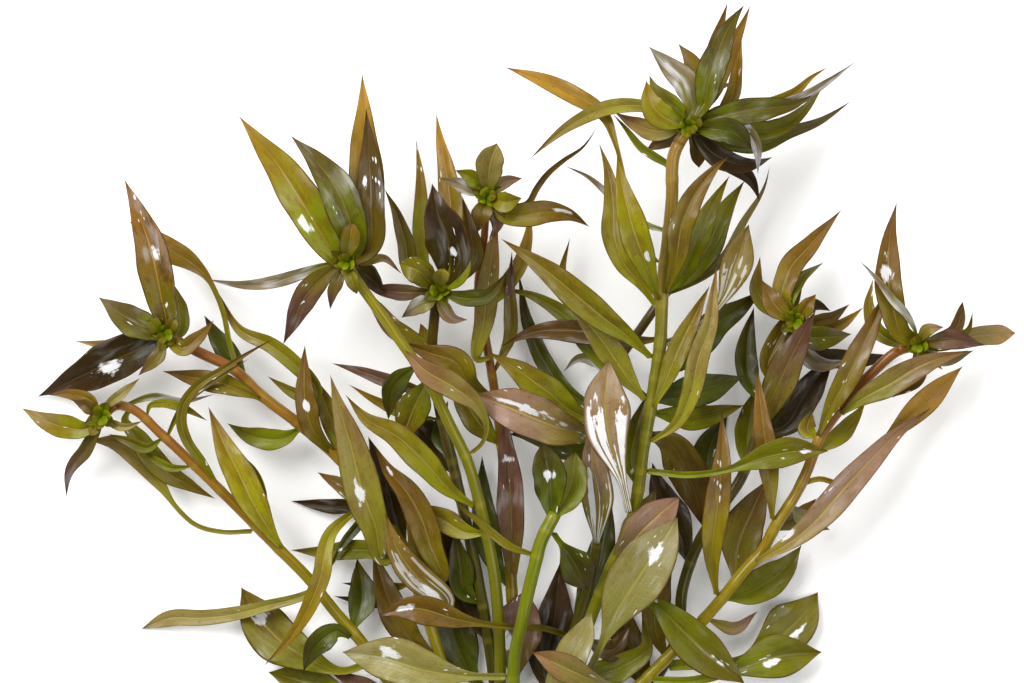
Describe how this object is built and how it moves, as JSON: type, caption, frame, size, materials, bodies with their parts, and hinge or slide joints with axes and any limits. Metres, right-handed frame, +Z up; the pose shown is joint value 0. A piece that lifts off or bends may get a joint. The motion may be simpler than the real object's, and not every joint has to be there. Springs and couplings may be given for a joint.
{
  "type": "bunch of ludwigia stems",
  "caption": "Fanned bunch of leafy aquarium plant stems with lance-shaped bronze and olive leaves, laid flat, its cut stems drawn together at one side.",
  "frame": {"origin": "centre of the bunch's box, on the surface that it lies on", "axes": "+Z up from the surface, +Y from the cut stem ends toward the shoot tips, +X across the fan"},
  "size_m": [0.1792, 0.1492, 0.0336],
  "materials": {
    "orange_stem": "moist, smooth",
    "green_stem": "moist, smooth",
    "reddish_stem": "moist, smooth",
    "dark_stem": "moist, smooth",
    "young_leaf": "moist leaf, glossy",
    "bronze_leaf": "moist leaf, glossy",
    "amber_leaf": "moist leaf, glossy",
    "pink_leaf": "moist leaf, glossy",
    "olive_leaf": "moist leaf, glossy",
    "green_leaf": "moist leaf, glossy",
    "dark_green_leaf": "moist leaf, glossy",
    "bright_leaf": "moist leaf, glossy",
    "pale_leaf": "moist leaf, glossy",
    "purple_leaf": "moist leaf, glossy"
  },
  "bodies": {
    "root": {"upper_left_stem": "orange_stem", "upper_left_shoot_tip": "young_leaf", "upper_left_leaf_1": "bronze_leaf", "upper_left_leaf_2": "amber_leaf", "upper_left_leaf_3": "amber_leaf", "upper_left_leaf_4": "bronze_leaf", "upper_left_leaf_5": "pink_leaf", "upper_left_leaf_6": "bronze_leaf", "upper_left_leaf_7": "pink_leaf", "lower_left_stem": "green_stem", "lower_left_shoot_tip": "young_leaf", "lower_left_leaf_1": "olive_leaf", "lower_left_leaf_2": "pink_leaf", "lower_left_leaf_3": "pale_leaf", "lower_left_leaf_4": "green_leaf", "lower_left_leaf_5": "dark_green_leaf", "left_stem": "green_stem", "left_shoot_tip": "young_leaf", "left_leaf_1": "pale_leaf", "left_leaf_2": "pale_leaf", "inner_left_stem": "dark_stem", "inner_left_shoot_tip": "young_leaf", "middle_stem": "reddish_stem", "middle_shoot_tip": "young_leaf", "middle_leaf_1": "bronze_leaf", "tall_stem": "green_stem", "tall_shoot_tip": "young_leaf", "tall_leaf_1": "olive_leaf", "tall_leaf_2": "bronze_leaf", "tall_leaf_3": "bronze_leaf", "tall_leaf_4": "bright_leaf", "tall_leaf_5": "amber_leaf", "tall_leaf_6": "pale_leaf", "tall_leaf_7": "pale_leaf", "tall_leaf_8": "pink_leaf", "tall_leaf_9": "pink_leaf", "tall_leaf_10": "green_leaf", "tall_leaf_11": "pale_leaf", "tall_leaf_12": "bright_leaf", "tall_leaf_13": "pale_leaf", "back_stem": "dark_stem", "back_leaf_1": "pink_leaf", "back_leaf_2": "olive_leaf", "back_leaf_3": "pink_leaf", "back_leaf_4": "bronze_leaf", "inner_right_stem": "dark_stem", "inner_right_shoot_tip": "young_leaf", "inner_right_leaf_1": "purple_leaf", "right_stem": "orange_stem", "right_shoot_tip": "young_leaf", "right_leaf_1": "bronze_leaf", "right_leaf_2": "pink_leaf", "right_leaf_3": "pink_leaf", "right_leaf_4": "bronze_leaf", "right_leaf_5": "pale_leaf", "right_leaf_6": "green_leaf", "right_leaf_7": "olive_leaf", "short_stem": "green_stem", "short_leaf_1": "pale_leaf", "short_leaf_2": "dark_green_leaf"}
  },
  "joints": []
}
